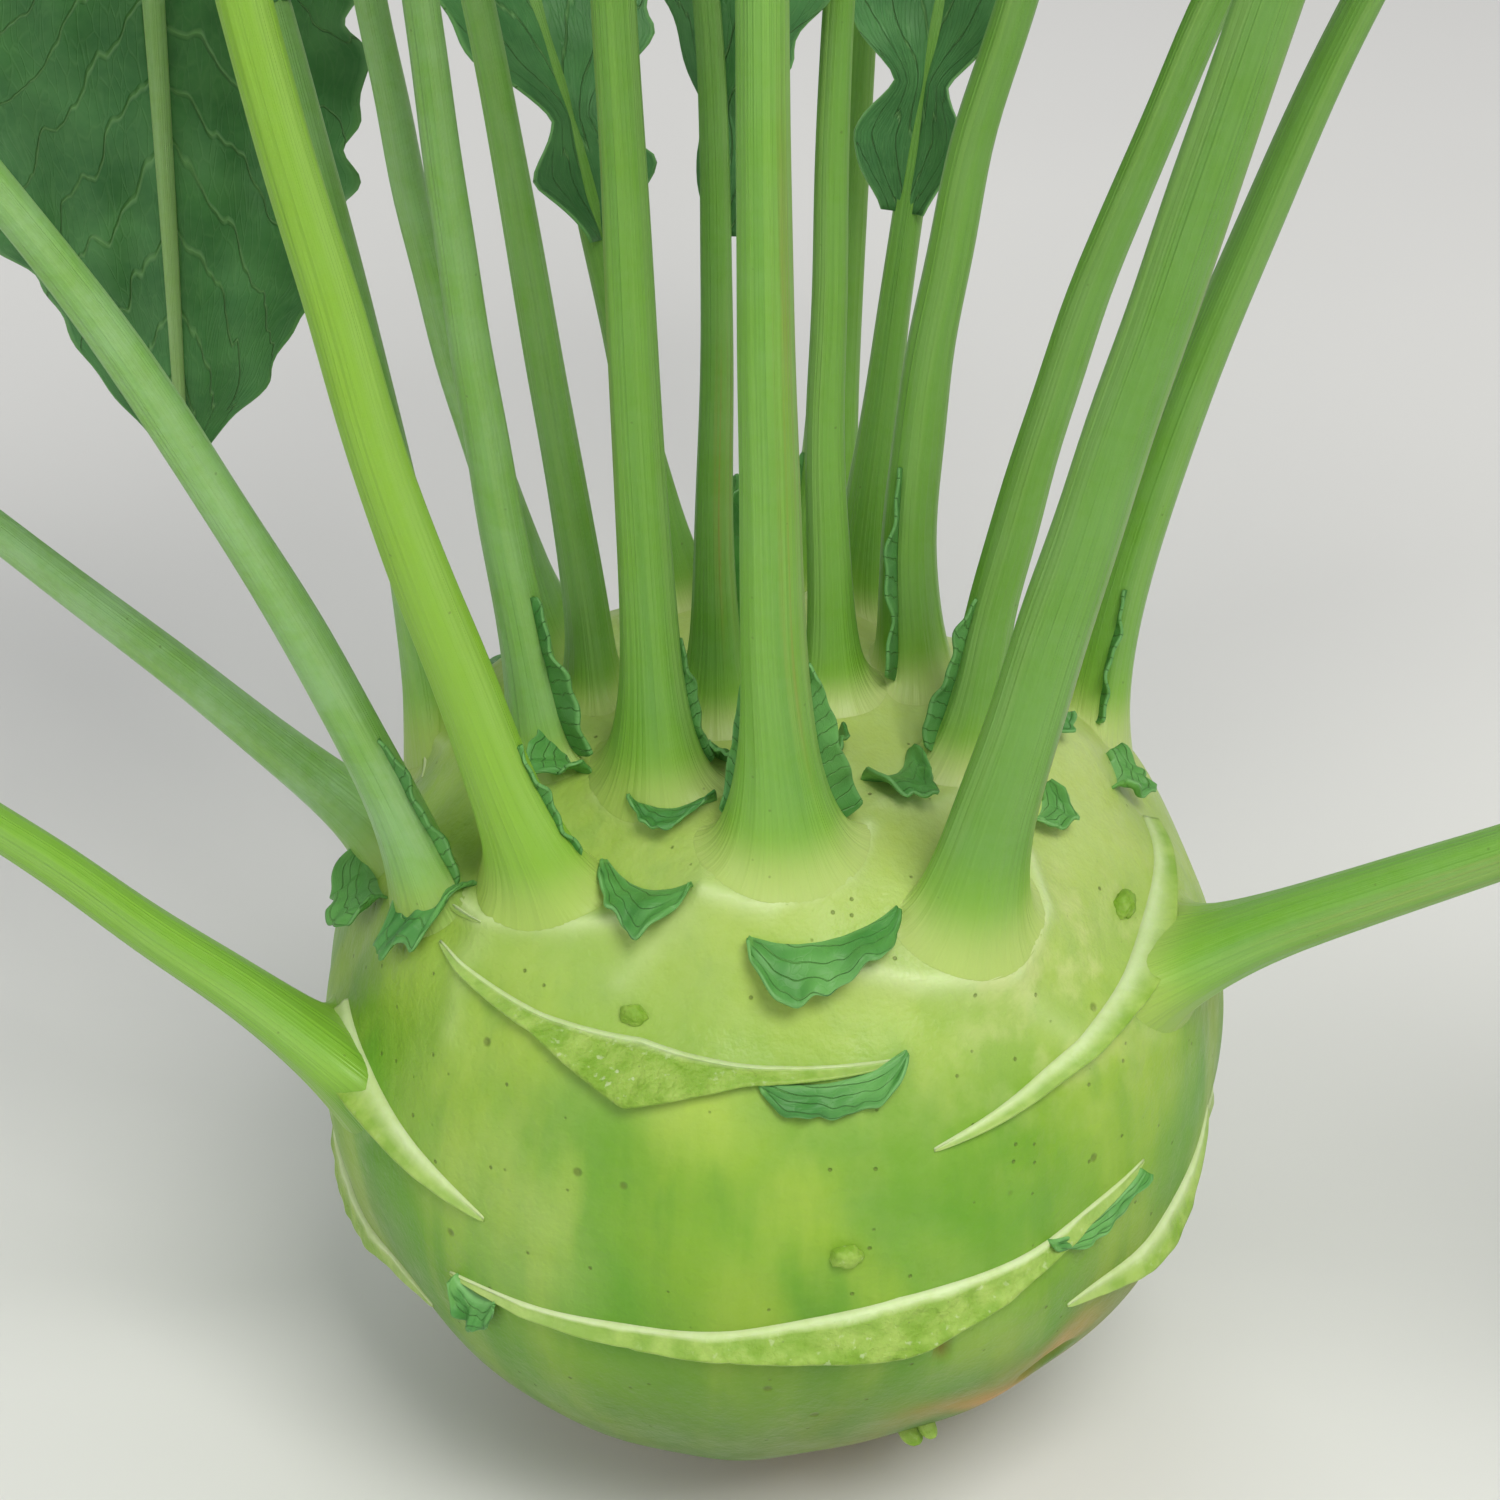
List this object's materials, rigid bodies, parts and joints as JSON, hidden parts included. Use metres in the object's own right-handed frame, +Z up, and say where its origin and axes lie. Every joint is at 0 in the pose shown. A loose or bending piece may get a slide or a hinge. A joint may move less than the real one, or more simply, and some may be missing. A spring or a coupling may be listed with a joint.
{
  "type": "kohlrabi",
  "caption": "Giant kohlrabi as picked: a round swollen stem with crescent leaf scars, a cut foot to stand on, and a crown of long-stalked leaves.",
  "frame": {"origin": "middle of the flat cut foot that the bulb rests on", "axes": "+Z up through the crown, -Y the front that the picture shows, +X the right of that view"},
  "size_m": [0.8537, 0.6604, 0.6981],
  "materials": {
    "bulb_skin": "waxy pale yellow-green skin, paler at the crown, with whitish leaf scars",
    "leaf_stalk": "smooth waxy light green stalk with fine lengthwise ribs",
    "leaf_blade": "matt blue-green leaf with pale veins and a waxy bloom"
  },
  "bodies": {
    "root": {"bulb": "bulb_skin", "heart": "leaf_blade", "leaf_01_stalk": "leaf_stalk", "leaf_01_blade": "leaf_blade", "leaf_02_stalk": "leaf_stalk", "leaf_02_blade": "leaf_blade", "leaf_03_stalk": "leaf_stalk", "leaf_03_blade": "leaf_blade", "leaf_04_stalk": "leaf_stalk", "leaf_04_blade": "leaf_blade", "leaf_05_stalk": "leaf_stalk", "leaf_05_blade": "leaf_blade", "leaf_06_stalk": "leaf_stalk", "leaf_06_blade": "leaf_blade", "leaf_07_stalk": "leaf_stalk", "leaf_07_blade": "leaf_blade", "leaf_08_stalk": "leaf_stalk", "leaf_08_blade": "leaf_blade", "leaf_09_stalk": "leaf_stalk", "leaf_09_blade": "leaf_blade", "leaf_10_stalk": "leaf_stalk", "leaf_10_blade": "leaf_blade", "leaf_11_stalk": "leaf_stalk", "leaf_11_blade": "leaf_blade", "leaf_12_stalk": "leaf_stalk", "leaf_12_blade": "leaf_blade", "leaf_13_stalk": "leaf_stalk", "leaf_13_blade": "leaf_blade", "leaf_14_stalk": "leaf_stalk", "leaf_14_blade": "leaf_blade", "leaf_15_stalk": "leaf_stalk", "leaf_15_blade": "leaf_blade", "leaf_16_stalk": "leaf_stalk", "leaf_16_blade": "leaf_blade", "leaf_17_stalk": "leaf_stalk", "leaf_17_blade": "leaf_blade", "leaf_18_stalk": "leaf_stalk", "leaf_18_blade": "leaf_blade", "leaf_19_stalk": "leaf_stalk", "leaf_19_blade": "leaf_blade", "leaf_20_stalk": "leaf_stalk", "leaf_20_blade": "leaf_blade"}
  },
  "joints": []
}
